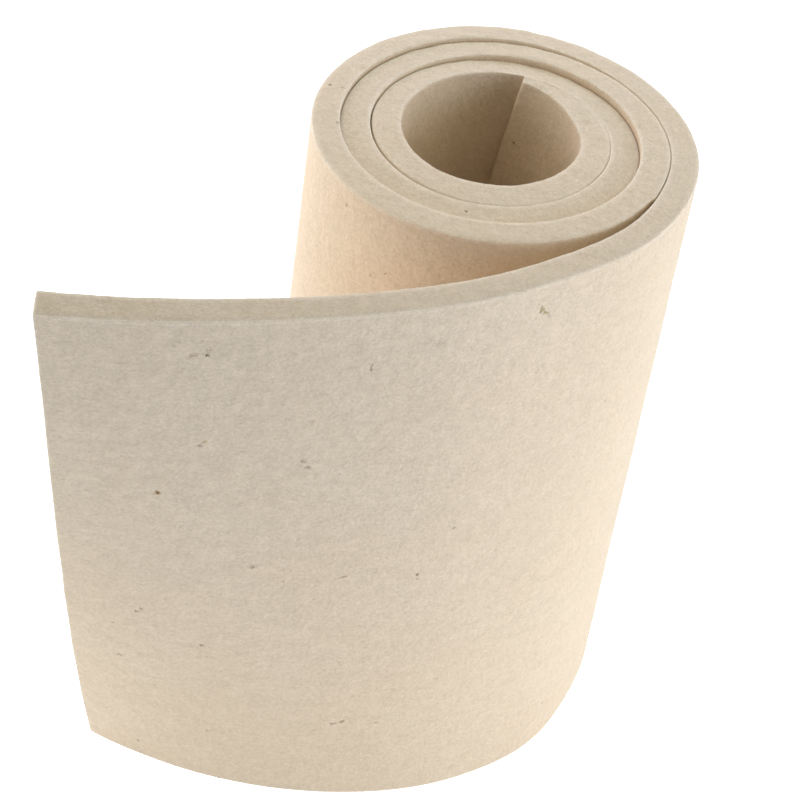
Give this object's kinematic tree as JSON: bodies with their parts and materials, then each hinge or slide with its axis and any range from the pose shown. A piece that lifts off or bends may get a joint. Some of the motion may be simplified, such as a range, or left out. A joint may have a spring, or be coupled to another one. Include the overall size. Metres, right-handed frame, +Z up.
{
  "type": "roll of felt",
  "caption": "Strip of thick undyed wool felt, loosely wound on its cut edge round an open core, with the free end swung out.",
  "frame": {"origin": "on the floor, under the middle of the whole piece's box", "axes": "+Z up, along the axis of the winding; the front is towards -Y, and the free end swings out to the front left"},
  "size_m": [0.2038, 0.21, 0.23],
  "materials": {
    "felt": "matt undyed pressed wool felt"
  },
  "bodies": {
    "root": {"felt_roll": "felt"}
  },
  "joints": []
}
